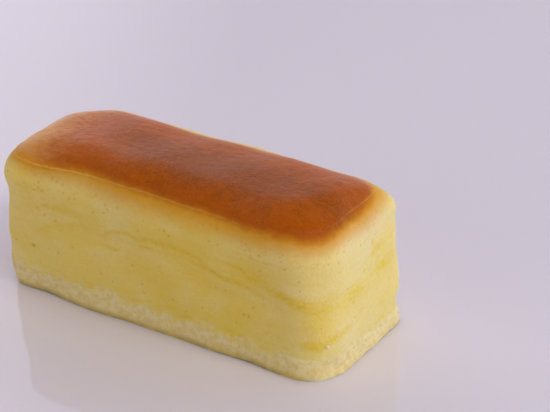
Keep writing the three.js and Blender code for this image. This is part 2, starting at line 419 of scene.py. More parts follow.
# How far below the crease the browning goes on, and how far the amber below it takes to fade, both in mm
BROWN_REACH = [
    Hill((5, -20), (26, 14), -0.2),
    Hill((-24, -20), (14, 14), -1.0),
    Hill((50, -18), (8, 11), 1.8),
    Hill((50, 2), (14, 9), 1.5),
    Hill((0, 20), (90, 13), -6.2),
    Hill((-38, 20), (24, 13), -3.0),
    Hill((50, 20), (14, 13), 3.0),
    Hill((-50, 2), (7, 20), -2.1),
]
AMBER_REACH = 1.6
AMBER_SPREAD = [
    Hill((-12, -20), (30, 14), 3.4),
    Hill((30, -20), (26, 18), 2.8),
    Hill((0, 20), (90, 13), 2.4),
    Hill((50, 6), (16, 18), 2.8),
]

# What is added to the crust's browning, which is 1: 0 is golden, 1 the usual brown, and more is darker still
BROWNING = [
    Hill((-50, 0), (27, 60), -0.45),
    Hill((-50, -4), (16, 30), -0.8),
    Hill((-22, -20), (14, 5), 0.25),
    Hill((12, -4), (52, 10.5), 0.62),
    Hill((-5, -6), (15, 7), 0.1),
    Hill((-25, 5), (9, 7), 0.3),
]

# Where the sides and the golden crust are paler: in part their own paler tone, in part painted light on the
# right end and by the right front corner, which face the key light, and a painted grazing sheen on the left
# end's crust
PALE_AND_LIT = [
    Hill((52, 2), (9, 30), 1.0),
    Hill((-20, -22), (18, 6), 0.25),
    Hill((42, -20), (8, 6), 0.4),
    Hill((-49, -9), (7, 11), 1.0),
]

# Small patches of deeper yellow
Patch = namedtuple("Patch", "at reach share")
PATCHES = [
    Patch((22.5, -20, 7.6), (1.2, 5, 0.6), 0.7),
    Patch((25.5, -20, 7.1), (2.0, 5, 0.6), 0.7),
    Patch((8.9, -20, 6.9), (1.4, 5, 0.5), 0.6),
    Patch((5.3, -20, 8.5), (1.6, 5, 0.6), 0.5),
    Patch((-20.8, -20, 7.0), (1.6, 5, 0.5), 0.6),
    Patch((-12.7, -20, 6.3), (2.2, 5, 0.5), 0.6),
    Patch((-41, -20, 13.2), (1.2, 5, 0.5), 0.9),
    Patch((50, -13.6, 10.6), (7, 3.8, 1.1), 0.95),
    Patch((49, -21, 9.4), (6, 4.0, 1.3), 1.0),
    Patch((50, -8.5, 10.9), (7, 2.2, 0.7), 0.6),
    Patch((50, 6.9, 10.7), (7, 1.6, 0.6), 0.4),
    Patch((50, -2.4, 12.6), (7, 1.4, 0.7), 0.4),
    Patch((50, -8, 17.5), (7, 5, 2.2), 0.35),
    Patch((48, -20, 15), (6, 6, 6), 0.45),
    Patch((50, 4.6, 27.7), (7, 0.7, 0.8), 0.9),
    Patch((50, 9, 20), (7, 5, 7), 0.25),
]

Streak = namedtuple("Streak", "points width depth colour")
FRONT_STREAKS = [
    Streak([(6.4, 30.5), (8.3, 30.3), (10, 30.0), (11.7, 30.9)], 0.24, 0.048, 0.7),
    Streak([(5.9, 23.6), (16.6, 26.6), (21.6, 26.5), (26.5, 25.8), (34.5, 25.1)], 0.9, 0.024, 0.55),
    Streak([(10.4, 18.3), (15.7, 20.1), (21, 22.1), (27.8, 23.6), (31, 23)], 0.6, 0.018, 0.4),
    Streak([(32.6, 22), (37.6, 24.5), (42.5, 25.3), (46.1, 24.3), (50.3, 25.8)], 0.34, 0.042, 0.85),
    Streak([(34, 20.2), (37.1, 19.6), (39.4, 19.7)], 0.26, 0.036, 0.75),
    Streak([(45.4, 22.7), (50.1, 23.2)], 0.28, 0.036, 0.75),
    Streak([(47.2, 25.5), (53.4, 25.8), (60.8, 24.8), (65.3, 24.2), (69, 22.5)], 0.44, 0.036, 0.75),
    Streak([(62.2, 22.8), (66.6, 22.4), (72.4, 21.1), (76.7, 21), (82.9, 19.3)], 0.45, 0.042, 0.95),
    Streak([(69.8, 26), (76.9, 25.2), (79.6, 22.8)], 0.36, 0.036, 0.65),
    Streak([(74.9, 29.3), (78.9, 29.4), (80.5, 28.8), (85, 29), (87.5, 28.9)], 0.17, 0.06, 0.8),
    Streak([(85.3, 21.6), (89.4, 21), (92.1, 19.7), (96.2, 19.2)], 0.7, 0.042, 0.95),
    Streak([(77, 24.4), (83.5, 22.6), (90, 21)], 1.4, 0.01, 0.5),
    Streak([(96, 19.2), (100, 19), (106, 19.6)], 1.4, 0.024, 0.5),
    Streak([(70.5, 37.6), (70.3, 35.5), (70.6, 33.6)], 0.3, 0.012, 0.9),
    Streak([(110, 18.5), (121, 18), (131, 18.6)], 1.6, 0.018, 0.3),
]


def noise_at(points, size, shift, octaves):
    """Smooth noise, about -1 to 1, with lumps of a size in millimetres, or one size for each axis."""
    scaled = (points / np.asarray(size) + shift).tolist()
    return np.array([noise.fractal(point, 1.0, 2.0, octaves) for point in scaled])


def texture(points, kind):
    """A texture's height at points."""
    height = noise_at(points, kind.size, kind.shift, kind.octaves)
    if kind.start is not None:
        height = smooth_step(height, kind.start, kind.end)
    return kind.depth * height


# Folds of the same kind as the front's, for the sides that are seen less: the length of side for each, how
# far they stay from the corners, their lengths, heights, rises, widths, depths and colours
STREAK_SPACING = 9
STREAK_INSET = 4
STREAK_MARGIN = 6
STREAK_RUNS = (5, 16)
STREAK_HEIGHTS = (22, 3.2)
STREAK_DRIFT = 0.5
STREAK_POINTS = 5
STREAK_WIDTHS = (0.25, 0.8)
STREAK_DEPTHS = (0.03, 0.08)
STREAK_COLOURS = (0.3, 0.7)


def random_streaks(rng):
    """Folds on the right end, the back and the left end."""
    streaks = []
    right_end = LENGTH + STREAK_INSET
    back = LENGTH + WIDTH + STREAK_INSET
    left_end = 2 * LENGTH + WIDTH
    for start, length in ((right_end, WIDTH), (back, LENGTH), (left_end, WIDTH)):
        for _ in range(int(length / STREAK_SPACING)):
            run = rng.uniform(*STREAK_RUNS)
            first = start + rng.uniform(0, max(length - run - STREAK_MARGIN, 1))
            height = rng.normal(*STREAK_HEIGHTS)
            steps = np.linspace(0, 1, STREAK_POINTS)
            drift = np.cumsum(rng.normal(0, STREAK_DRIFT, STREAK_POINTS))
            points = [(first + run * step, height + rise) for step, rise in zip(steps, drift)]
            width = rng.uniform(*STREAK_WIDTHS)
            streaks.append(Streak(points, width, rng.uniform(*STREAK_DEPTHS), rng.uniform(*STREAK_COLOURS)))
    return streaks


# A fold's groove has low lips, and its colour and its reach are wider than it, in widths of the fold. Its
# ends taper, but not to nothing.
LIP_SHARE = 0.3
LIP_PLACE = 2.2
STAIN_WIDTH = 1.6
STREAK_REACH = 4
STREAK_STEP = 0.08
TAPER_SPAN = (0.06, 0.94)
TAPER_POWER = 0.6


def streak_relief(places, streaks):
    """How far streaks sink the surface, and how deep they colour it."""
    sink = np.zeros(len(places))
    colour = np.zeros(len(places))
    for streak in streaks:
        points = np.array(streak.points)
        along = even(0, len(points) - 1, STREAK_STEP)
        path = np.stack([np.interp(along, np.arange(len(points)), points[:, c]) for c in (0, 1)], axis=1)
        path, _ = on_surface(np.array([block_point(*point) for point in path]), CHEESECAKE)
        reach = STREAK_REACH * streak.width
        near = np.all((places > path.min(0) - reach) & (places < path.max(0) + reach), axis=1)
        if not near.any():
            continue
        gaps = np.linalg.norm(places[near][:, None] - path[None], axis=2)
        nearest = gaps.argmin(axis=1)
        distance = gaps.min(axis=1)
        taper = np.sin(np.pi * np.clip(along[nearest] / along[-1], *TAPER_SPAN)) ** TAPER_POWER
        lips = LIP_SHARE * bell(distance - LIP_PLACE * streak.width, streak.width)
        sink[near] += streak.depth * taper * (bell(distance, streak.width) - lips)
        colour[near] += streak.colour * taper * bell(distance, STAIN_WIDTH * streak.width)
    return sink, np.clip(colour, 0, 1)


Pore = namedtuple("Pore", "along height radius")
FRONT_PORES = [
    Pore(17.8, 35.3, 0.34), Pore(19.8, 34.3, 0.26), Pore(21.6, 33.9, 0.26), Pore(22.3, 31.5, 0.3),
    Pore(26.7, 32.8, 0.24), Pore(77.4, 13.0, 0.32), Pore(78.7, 12.9, 0.34), Pore(65.0, 11.3, 0.26),
    Pore(69.2, 17.7, 0.26), Pore(9.6, 13.2, 0.45), Pore(55.8, 10.9, 0.26), Pore(46.7, 10.1, 0.28),
]
# Small open pores all round: a share of them in a band under the shoulder, the others anywhere on the walls
RANDOM_PORES = 210
PORE_BAND = (32, 3.2)
PORE_HEIGHTS = (8, 34)
PORE_SHARES = [0.6, 0.4]
PORE_RADII = (0.2, 0.34)
# A pore's depth as a share of its radius, and how square its rim is
PORE_DEPTH = 0.8
PORE_RIM = 4


def random_pores(rng):
    """Small open pores, most of them in the upper half of the sides."""
    pores = []
    for _ in range(RANDOM_PORES):
        height = rng.choice([rng.normal(*PORE_BAND), rng.uniform(*PORE_HEIGHTS)], p=PORE_SHARES)
        pores.append(Pore(rng.uniform(0, PERIMETER), height, rng.uniform(*PORE_RADII)))
    return pores


def pore_relief(places, pores):
    """How far pores sink the surface, in millimetres, and where they are, from 0 to 1."""
    tree = kdtree.KDTree(len(places))
    for index, place in enumerate(places.tolist()):
        tree.insert(place, index)
    tree.balance()
    sink = np.zeros(len(places))
    mark = np.zeros(len(places))
    centres, _ = on_surface(np.array([block_point(pore.along, pore.height) for pore in pores]), CHEESECAKE)
    for pore, centre in zip(pores, centres.tolist()):
        for _, index, distance in tree.find_range(centre, 2 * pore.radius):
            share = math.exp(-((distance / pore.radius) ** PORE_RIM))
            sink[index] = max(sink[index], PORE_DEPTH * pore.radius * share)
            mark[index] = max(mark[index], share)
    return sink, mark


def patches(block):
    """How deep the small patches colour the sides."""
    total = np.zeros(len(block))
    for patch in PATCHES:
        total += patch.share * math.prod(bell(block[:, n] - patch.at[n], patch.reach[n]) for n in range(3))
    return total


def sponge_relief(places):
    """The crumbly face of the sponge: soft lumps, flakes and pits."""
    return texture(places, SPONGE_LUMPS) + texture(places, SPONGE_FLAKES) - texture(places, SPONGE_PITS)


def side_relief(places):
    """The soft, fine-pored sides, with shallow drawn-out folds at mid height."""
    soft = texture(places, SIDE_SWELLS) + texture(places, SIDE_GRAIN)
    band = bell(places[:, 2] - SIDE_FOLD_BAND.at, SIDE_FOLD_BAND.reach)
    folds = band * texture(places, SIDE_FOLDS)
    return soft - SIDE_FOLD_BAND.size * folds, folds


def crust_relief(places):
    """The browned skin: low wrinkles, a leathery grain and small pits."""
    return texture(places, SKIN_WRINKLES) + texture(places, SKIN_GRAIN) - texture(places, SKIN_PITS)


Slit = namedtuple("Slit", "at turn length")
SEEN_SLITS = [
    Slit((8.7, -4.2), 20, 1.3),
    Slit((21.8, -14.1), 0, 0.8),
    Slit((26.4, -10.1), -10, 1.1),
    Slit((-3.6, -6.7), 25, 1.4),
    Slit((-2.2, -4.6), 15, 1.6),
]
SLIT_WIDTH = 0.24
SLIT_DEPTH = 0.15
# Short cracks all over the top: how far they stay from the ends and the long sides, their turns in degrees
# and their lengths
RANDOM_SLITS = 26
SLIT_INSETS = (7, 5)
SLIT_TURNS = (10, 25)
SLIT_LENGTHS = (0.3, 1.2)


def random_slits(rng):
    """Short cracks in the skin, all over the top."""
    reach_x = HALF_X - SLIT_INSETS[0]
    reach_y = HALF_Y - SLIT_INSETS[1]
    slits = []
    for _ in range(RANDOM_SLITS):
        place = (rng.uniform(-reach_x, reach_x), rng.uniform(-reach_y, reach_y))
        slits.append(Slit(place, rng.normal(*SLIT_TURNS), rng.uniform(*SLIT_LENGTHS)))
    return slits


def slit_mark(block, slits):
    """Where the slits are, from 0 to 1."""
    mark = np.zeros(len(block))
    on_top = block[:, 2] > SIDE_HEIGHT - SHOULDER.rise / 2
    for slit in slits:
        turn = math.radians(slit.turn)
        x = block[:, 0] - slit.at[0]
        y = block[:, 1] - slit.at[1]
        along = x * math.cos(turn) + y * math.sin(turn)
        across = y * math.cos(turn) - x * math.sin(turn)
        mark = np.maximum(mark, on_top * bell(along, slit.length / 2) * bell(across, SLIT_WIDTH))
    return mark


# ---- Pieces ----
SHARP_ANGLE = 75.0


def make_object(name, points, faces):
    """A mesh object at the origin, from points in millimetres."""
    mesh = bpy.data.meshes.new(name)
    mesh.from_pydata((points * MM).tolist(), [], faces)
    mesh.shade_smooth()
    mesh.set_sharp_from_angle(angle=math.radians(SHARP_ANGLE))
    piece = bpy.data.objects.new(name, mesh)
    bpy.context.scene.collection.objects.link(piece)
    return piece


def normals_of(piece):
    normals = np.empty(len(piece.data.vertices) * 3)
    piece.data.vertices.foreach_get("normal", normals)
    return normals.reshape(-1, 3)


def set_places(piece, places):
    piece.data.vertices.foreach_set("co", (places * MM).ravel())
    piece.data.update()


def add_attributes(piece, **attributes):
    for name, values in attributes.items():
        attribute = piece.data.attributes.new(name, "FLOAT", "POINT")
        attribute.data.foreach_set("value", np.asarray(values, dtype=np.float32))


def flattened(normals, share):
    """Normals turned level by a share, so that the two layers' edges don't grow into each other."""
    level = normals.copy()
    level[:, 2] *= 1 - share
    return level / np.maximum(np.linalg.norm(level, axis=1, keepdims=True), TINY)


def frame_shift():
    """What puts the form's footprint over the frame's, in millimetres; a coarse grid is enough for it."""
    level = lines_level(COARSE_SPACING)
    heights = {CHEESECAKE: lines_up_cheesecake(COARSE_SPACING), SPONGE: lines_up_sponge(COARSE_SPACING / 2)}
    layers = [on_surface(block_grid(*level, zs, None)[0], layer)[0] for layer, zs in heights.items()]
    places = np.concatenate(layers)
    low, high = (np.array(corner) / MM for corner in CAD_BOX)
    middle = (low + high - places.min(0) - places.max(0)) / 2
    return np.array([middle[0], middle[1], 0.0])


def inside_frame(places):
    low, high = (np.array(corner) / MM for corner in CAD_BOX)
    return np.clip(places, low, high)


def make_layer(name, layer, heights, hidden):
    """A layer's smooth form, before its relief."""
    block, faces = block_grid(*lines_level(SPACING), heights, hidden)
    places, crust = on_surface(block, layer)
    return make_object(name, places, faces), block, places, crust


def seam_height_at(places):
    """The height of the seam between the layers, at places."""
    return SPONGE_THICKNESS + seam_wave(places[:, 0], places[:, 1])


# Heights over the seam, and distances from the crease, in which one kind of surface gives way to another
LEVEL_ABOVE_SEAM = (0.3, 1.5)
LEVEL_BELOW_SEAM = (-1.5, -0.3)
CRUMBLY_ABOVE_SEAM = (0.0, 1.2)
SKIN_START = (-2.0, 1.0)


def make_cheesecake(shift, streaks, pores, slits):
    heights = lines_up_cheesecake(SPACING)
    piece, block, places, crust = make_layer("baked_cheesecake", CHEESECAKE, heights, "bottom")
    above_seam = places[:, 2] - seam_height_at(places)
    normals = flattened(normals_of(piece), 1 - smooth_step(above_seam, *LEVEL_ABOVE_SEAM))

    browned = smooth_step(crust, *SKIN_START)
    side, folds = side_relief(places)
    sink, streak_colour = streak_relief(places, streaks)
    pore_sink, pore_mark = pore_relief(places, pores)
    slit = slit_mark(block, slits)
    side = side - sink - pore_sink
    x, y, _ = block.T
    strength = np.clip(hills(CREASE_STRENGTH, x, y), 0, 1)
    worn = texture(places, CREASE_WEAR)
    crease = strength * worn * bell(crust + texture(places, CREASE_WANDER), CREASE_WIDTH)
    relief = browned * crust_relief(places) + (1 - browned) * side
    relief = relief + CREASE_HEIGHT * crease - SLIT_DEPTH * slit
    near_seam = 1 - smooth_step(above_seam, *CRUMBLY_ABOVE_SEAM)
    relief = near_seam * sponge_relief(places) + (1 - near_seam) * relief + RELIEF_BIAS
    set_places(piece, inside_frame(places + normals * relief[:, None] + shift))

    deep = np.clip(SIDE_FOLD_COLOUR * folds + streak_colour + patches(block), 0, 1)
    add_attributes(piece, crust_mm=crust, seam_mm=above_seam, deep=deep, brown_reach=hills(BROWN_REACH, x, y),
                   amber_reach=AMBER_REACH + hills(AMBER_SPREAD, x, y), pore=pore_mark,
                   browning=1 + hills(BROWNING, x, y), pale=hills(PALE_AND_LIT, x, y), crease=crease, slit=slit)
    return piece


# Painted shade on the sponge's foot: darker up to a height, and much less so at the right end, where the key
# light falls
FOOT_SHADE_HEIGHT = 2.5
FOOT_SHADE_LEFT_OUT = 0.7
END_REACH = (40.0, 49.0)


def make_sponge(shift):
    piece, _, places, _ = make_layer("sponge_layer", SPONGE, lines_up_sponge(SPONGE_SPACING), "top")
    above_seam = places[:, 2] - seam_height_at(places)
    normals = flattened(normals_of(piece), smooth_step(above_seam, *LEVEL_BELOW_SEAM))
    relief = sponge_relief(places) + RELIEF_BIAS
    set_places(piece, inside_frame(places + normals * relief[:, None] + shift))
    x, y, z = places.T
    # The foot mark is a painted contact shade on the crumb, kept mostly off the right end where the key light
    # falls
    front = 1 - FOOT_SHADE_LEFT_OUT * smooth_step(x, *END_REACH)
    foot = front * np.clip(1 - z / FOOT_SHADE_HEIGHT, 0, 1)
    add_attributes(piece, seam_mm=above_seam, foot=foot, pale=hills(PALE_AND_LIT, x, y))
    return piece


Crumb = namedtuple("Crumb", "along height radius")
SEEN_CRUMBS = [
    Crumb(97.5, 0.3, 0.2), Crumb(99.2, 0.2, 0.16), Crumb(101.6, 0.3, 0.18), Crumb(104.8, 0.4, 0.22),
    Crumb(106.4, 0.9, 0.18), Crumb(109.5, 0.6, 0.16), Crumb(103.0, 9.2, 0.55), Crumb(96.0, 2.6, 0.18),
]
RANDOM_CRUMBS = 32
CRUMB_TOP = 4.5
CRUMB_LIFTS = (0.2, 1.0)
CRUMB_RADII = (0.08, 0.16)
# A crumb is a ball that is lower than it is wide, with lumps of its own, in radii of the crumb
CRUMB_SHAPE = np.array([1.0, 1.0, 0.75])
CRUMB_LUMPS = Texture(0.4, 0.9, 0.0, 2)
CRUMB_LUMPS_APART = 3.7


def random_crumbs(rng):
    """Small crumbs that cling to the sponge, most of them near its foot."""
    crumbs = []
    for _ in range(RANDOM_CRUMBS):
        along = rng.uniform(0, PERIMETER)
        height = CRUMB_TOP * rng.uniform(*CRUMB_LIFTS) ** 2
        crumbs.append(Crumb(along, height, rng.uniform(*CRUMB_RADII)))
    return crumbs


def make_crumbs(shift, crumbs):
    """Uneven lumps, each half sunk in the bar's face and clear of the floor."""
    ball = bmesh.new()
    bmesh.ops.create_icosphere(ball, subdivisions=2, radius=1.0)
    unit = np.array([vertex.co for vertex in ball.verts])
    ball_faces = [tuple(vertex.index for vertex in face.verts) for face in ball.faces]
    ball.free()
    points, faces = [], []
    for number, crumb in enumerate(crumbs):
        layer = SPONGE if crumb.height < SPONGE.top else CHEESECAKE
        centre, _ = on_surface(np.array([block_point(crumb.along, crumb.height)]), layer)
        lumps = 1 + texture(unit + CRUMB_LUMPS_APART * number, CRUMB_LUMPS)
        lump = centre + shift + unit * (crumb.radius * lumps)[:, None] * CRUMB_SHAPE
        lump[:, 2] += max(FLOOR_HEIGHT - lump[:, 2].min(), 0)
        faces += [tuple(index + len(unit) * number for index in face) for face in ball_faces]
        points.append(lump)
    return make_object("sponge_crumbs", inside_frame(np.concatenate(points)), faces)


# ---- Materials ----
def linear(red, green, blue):
    """A colour given in sRGB from 0 to 255, as the linear values that shaders take."""
    shares = (value / 255 for value in (red, green, blue))
    return tuple(s / 12.92 if s <= 0.04045 else ((s + 0.055) / 1.055) ** 2.4 for s in shares) + (1.0,)


# A step between two values, with what it gives at its start and at its end
Ramp = namedtuple("Ramp", "start end low high", defaults=(0.0, 1.0))
# Noise with lumps of a size in millimetres, or one size for each axis, and the ramp that it is put through
Mottle = namedtuple("Mottle", "size detail roughness ramp", defaults=(None,))
# Round pores of a radius, in a share of the cells of a size; both sizes are in millimetres
PoreField = namedtuple("PoreField", "cell radius share")
# A pore in a field is up to half larger or smaller than its radius, and its edge is soft
PORE_SIZE_FROM = 0.5
PORE_EDGE = Ramp(1.2, 0.6)


class Nodes:
    """A node tree, with a short way to add each kind of node."""

    def __init__(self, tree):
        self.tree = tree

    def node(self, kind, inputs, **settings):
        """Adds a node; an input given as a socket is linked, and any other value is set."""
        node = self.tree.nodes.new(kind)
        for name, value in settings.items():
            setattr(node, name, value)
        for key, value in inputs.items():
            self.join(value, node.inputs[key])
        return node

    def join(self, value, socket):
        if isinstance(value, bpy.types.NodeSocket):
            self.tree.links.new(value, socket)
        else:
            socket.default_value = value

    def math(self, operation, first, second):
        return self.node("ShaderNodeMath", {0: first, 1: second}, operation=operation).outputs[0]

    def times(self, first, *others):
        for other in others:
            first = self.math("MULTIPLY", first, other)
        return first

    def step(self, value, ramp):
        inputs = {"Value": value, "From Min": ramp.start, "From Max": ramp.end,
                  "To Min": ramp.low, "To Max": ramp.high}
        return self.node("ShaderNodeMapRange", inputs, interpolation_type="SMOOTHSTEP").outputs["Result"]

    def mix(self, share, first, second):
        return self.node("ShaderNodeMix", {0: share, 6: first, 7: second}, data_type="RGBA").outputs[2]


class Shader(Nodes):
    """A material's nodes, which work in millimetres."""

    def __init__(self, name):
        self.material = bpy.data.materials.new(name)
        self.material.use_nodes = True
        super().__init__(self.material.node_tree)
        self.bsdf = self.tree.nodes["Principled BSDF"]
        place = self.node("ShaderNodeTexCoord", {}).outputs["Object"]
        self.mm = self.node("ShaderNodeVectorMath", {0: place, "Scale": 1 / MM}, operation="SCALE").outputs[0]

    def attribute(self, name):
        return self.node("ShaderNodeAttribute", {}, attribute_name=name).outputs["Fac"]

    def stretched(self, size):
        """Coordinates that give noise lumps of a size along each axis."""
        scale = tuple(1 / s for s in size)
        return self.node("ShaderNodeVectorMath", {0: self.mm, 1: scale}, operation="MULTIPLY").outputs[0]

    def noise(self, mottle):
        size = mottle.size if isinstance(mottle.size, tuple) else (mottle.size,) * 3
        inputs = {"Vector": self.stretched(size), "Scale": 1.0, "Detail": mottle.detail,
                  "Roughness": mottle.roughness}
        noise = self.node("ShaderNodeTexNoise", inputs).outputs["Fac"]
        return self.step(noise, mottle.ramp) if mottle.ramp else noise

    def pores(self, field):
        inputs = {"Vector": self.stretched((field.cell,) * 3), "Scale": 1.0}
        cells = self.node("ShaderNodeTexVoronoi", inputs)
        chosen = self.node("ShaderNodeSeparateColor", {"Color": cells.outputs["Color"]})
        present = self.math("LESS_THAN", chosen.outputs[0], field.share)
        size = self.times(self.math("ADD", chosen.outputs[1], PORE_SIZE_FROM), field.radius / field.cell)
        shape = self.math("DIVIDE", cells.outputs["Distance"], size)
        return self.times(self.step(shape, PORE_EDGE), present)

    def bump(self, height, depth, under=None):
        """A bump of a depth in millimetres, on top of another if one is given."""
        inputs = {"Height": height, "Distance": depth * MM, "Strength": 1.0}
        if under is not None:
            inputs["Normal"] = under
        return self.node("ShaderNodeBump", inputs).outputs["Normal"]

    def finish(self, colour, normal, roughness, **fixed):
        self.join(colour, self.bsdf.inputs["Base Color"])
        self.join(normal, self.bsdf.inputs["Normal"])
        self.join(roughness, self.bsdf.inputs["Roughness"])
        for name, value in fixed.items():
            self.bsdf.inputs[name.replace("_", " ")].default_value = value
        return self.material


CREAM = linear(240, 220, 138)
# The pale colours go where the pale mark is high: in part a paler tone, in part painted light on the right
# end and right front corner, which face the key light
PALE_LIT_CREAM = linear(240, 233, 206)
YELLOW = linear(239, 213, 106)
PALE_LIT_YELLOW = linear(240, 232, 183)
DEEP_YELLOW = linear(232, 196, 50)
DEEP_LIT_LEMON = linear(236, 214, 74)
PORE_YELLOW = linear(220, 176, 50)
CRUMB_PALE = linear(237, 222, 170)
CRUMB_DEEP = linear(227, 206, 137)
# The olive crumb of the painted contact shade at the sponge's foot
CRUMB_FOOT_SHADE = linear(196, 170, 88)
CRUMB_WHITE = linear(236, 222, 176)
AMBER = linear(218, 156, 26)
ORANGE = linear(220, 146, 16)
# Golden tan for the less-browned crust, lighter away from the crease: in part its own tone, in part a painted
# grazing sheen over the left end's top
GOLDEN_AND_SHEEN = linear(214, 146, 82)
BROWN = linear(184, 90, 2)
DARK_BROWN = linear(128, 64, 4)
SKIN_TAN = linear(236, 182, 98)
SUBSURFACE_RADIUS = (0.9, 0.7, 0.32)


# The crumb, and how it gives way to the sides at the seam, by the height over it
CRUMB_MOTTLE = Mottle(1.6, 4.0, 0.6, Ramp(0.36, 0.68))
SEAM_MOTTLE = Mottle((3.4, 3.4, 2.0), 5.0, 0.7, Ramp(0.3, 0.7, -1.5, 1.5))
SEAM_EDGE = Ramp(1.3, -1.5)


def crumb_colour(shader):
    """The sponge's pale crumb."""
    return shader.mix(shader.noise(CRUMB_MOTTLE), CRUMB_PALE, CRUMB_DEEP)


def crumb_share(shader, above_seam):
    """How far the sponge's crumb shows, from 0 to 1, with a soft and ragged edge."""
    return shader.step(shader.math("ADD", above_seam, shader.noise(SEAM_MOTTLE)), SEAM_EDGE)


# What changes up the sides, by the height over the seam in millimetres
PALE_AND_LIT_BY_HEIGHT = Ramp(8.0, 24.0, 0.55, 0.72)
CREAM_BY_HEIGHT = Ramp(20.0, 28.0, 0.0, -0.1)
PORES_BY_HEIGHT = Ramp(18.0, 27.0, 0.2, 0.6)
BLOTCHES_BY_HEIGHT = Ramp(3.2, 0.6)

SIDE_BLOTCHES = Mottle((14.0, 14.0, 8.0), 4.0, 0.6)
CREAM_TO_YELLOW = Ramp(0.3, 0.62)
SIDE_SPECKLES = Mottle(0.6, 3.0, 0.7, Ramp(0.3, 0.7, 0.0, 0.26))
SEAM_BLOTCHES = Mottle((4.5, 4.5, 2.2), 3.0, 0.6, Ramp(0.5, 0.66, 0.0, 0.5))
FOLD_MOTTLE = Mottle((1.1, 1.1, 0.8), 4.0, 0.7, Ramp(0.3, 0.7, 0.4, 1.3))
FINE_PORES = PoreField(0.9, 0.17, 0.5)
PORE_TINT = 0.85


def side_colour(shader, above_seam):
    """The sides' cream to yellow, deeper in the folds, the pores and along the seam."""
    # The pale mark lays on paler colours, in part as painted light on the lit right end and corner
    pale = shader.times(shader.attribute("pale"), shader.step(above_seam, PALE_AND_LIT_BY_HEIGHT))
    cream = shader.mix(pale, CREAM, PALE_LIT_CREAM)
    yellow = shader.mix(pale, YELLOW, PALE_LIT_YELLOW)
    blotch = shader.math("ADD", shader.noise(SIDE_BLOTCHES), shader.step(above_seam, CREAM_BY_HEIGHT))
    colour = shader.mix(shader.step(blotch, CREAM_TO_YELLOW), cream, yellow)
    colour = shader.mix(shader.noise(SIDE_SPECKLES), colour, DEEP_YELLOW)

    deep_seam = shader.times(shader.noise(SEAM_BLOTCHES), shader.step(above_seam, BLOTCHES_BY_HEIGHT))
    deep_folds = shader.times(shader.attribute("deep"), shader.noise(FOLD_MOTTLE))
    deep = shader.math("MAXIMUM", deep_seam, deep_folds)
    colour = shader.mix(deep, colour, shader.mix(pale, DEEP_YELLOW, DEEP_LIT_LEMON))

    fine_pores = shader.times(shader.pores(FINE_PORES), shader.step(above_seam, PORES_BY_HEIGHT))
    pores = shader.math("MAXIMUM", fine_pores, shader.times(shader.attribute("pore"), PORE_TINT))
    return shader.mix(pores, colour, shader.mix(pale, PORE_YELLOW, DEEP_LIT_LEMON))


# By the distance from the crease
ORANGE_TO_GOLDEN = Ramp(0.4, 2.2)
# By the distance up from the browning's ragged edge; the amber's is in shares of its reach
SKIN_EDGE_MOTTLE = Mottle((2.5, 2.5, 1.8), 4.0, 0.65, Ramp(0.3, 0.7, -0.25, 0.25))
AMBER_TO_BROWN = Ramp(-1.8, 1.3)
SIDE_TO_AMBER = Ramp(-1.5, 0.0)
GRAIN_START = Ramp(-1.0, 1.5)
SPECKS_START = Ramp(0.0, 2.0)
# By the browning, with its mottle
GOLDEN_TO_BROWN = Ramp(0.0, 1.0)
BROWN_TO_DARK = Ramp(1.0, 1.6, 0.0, 0.65)
SPECKS_BY_BROWNING = Ramp(0.3, 0.9)

SKIN_MOTTLE = Mottle((12.0, 8.0, 9.0), 4.0, 0.55, Ramp(0.3, 0.7, -0.07, 0.07))
FINE_SKIN_MOTTLE = Mottle((2.6, 1.5, 2.0), 5.0, 0.65, Ramp(0.34, 0.66, -0.12, 0.12))
AMBER_GRAIN = Mottle(0.45, 3.0, 0.7, Ramp(0.45, 0.75, 0.0, 0.24))
SPECK_CLUSTERS = Mottle((10.0, 7.0, 7.0), 3.0, 0.6, Ramp(0.46, 0.6, 0.2, 0.6))
SPECKS = PoreField(1.3, 0.22, 0.5)
SLIT_TINT = 0.8
CREASE_TINT = 0.75


def crust_colour(shader, crust, side):
    """Brown above the crease and amber below it, which fades into the side's colour."""
    reach = shader.math("ADD", crust, shader.attribute("brown_reach"))
    browned = shader.math("ADD", reach, shader.noise(SKIN_EDGE_MOTTLE))
    faded = shader.math("DIVIDE", browned, shader.attribute("amber_reach"))
    mottle = shader.math("ADD", shader.noise(SKIN_MOTTLE), shader.noise(FINE_SKIN_MOTTLE))
    browning = shader.math("ADD", shader.attribute("browning"), mottle)

    # Golden tan away from the crease, and lighter tan where the pale mark is high on the left end: in part
    # less-baked crust, in part a painted grazing sheen
    golden = shader.mix(shader.step(crust, ORANGE_TO_GOLDEN), ORANGE, GOLDEN_AND_SHEEN)
    golden = shader.mix(shader.attribute("pale"), golden, SKIN_TAN)
    brown = shader.mix(shader.step(browning, GOLDEN_TO_BROWN), golden, BROWN)
    brown = shader.mix(shader.step(browning, BROWN_TO_DARK), brown, DARK_BROWN)
    colour = shader.mix(shader.step(faded, SIDE_TO_AMBER), side, AMBER)
    colour = shader.mix(shader.step(browned, AMBER_TO_BROWN), colour, brown)

    on_brown = shader.step(browning, SPECKS_BY_BROWNING)
    specked = shader.times(shader.noise(SPECK_CLUSTERS), on_brown, shader.step(browned, SPECKS_START))
    specks = shader.times(shader.pores(SPECKS), specked)
    specks = shader.math("MAXIMUM", specks, shader.times(shader.attribute("slit"), SLIT_TINT))
    colour = shader.mix(specks, colour, DARK_BROWN)
    grain = shader.times(shader.noise(AMBER_GRAIN), shader.step(browned, GRAIN_START))
    colour = shader.mix(grain, colour, AMBER)
    return shader.mix(shader.times(shader.attribute("crease"), CREASE_TINT), colour, SKIN_TAN)


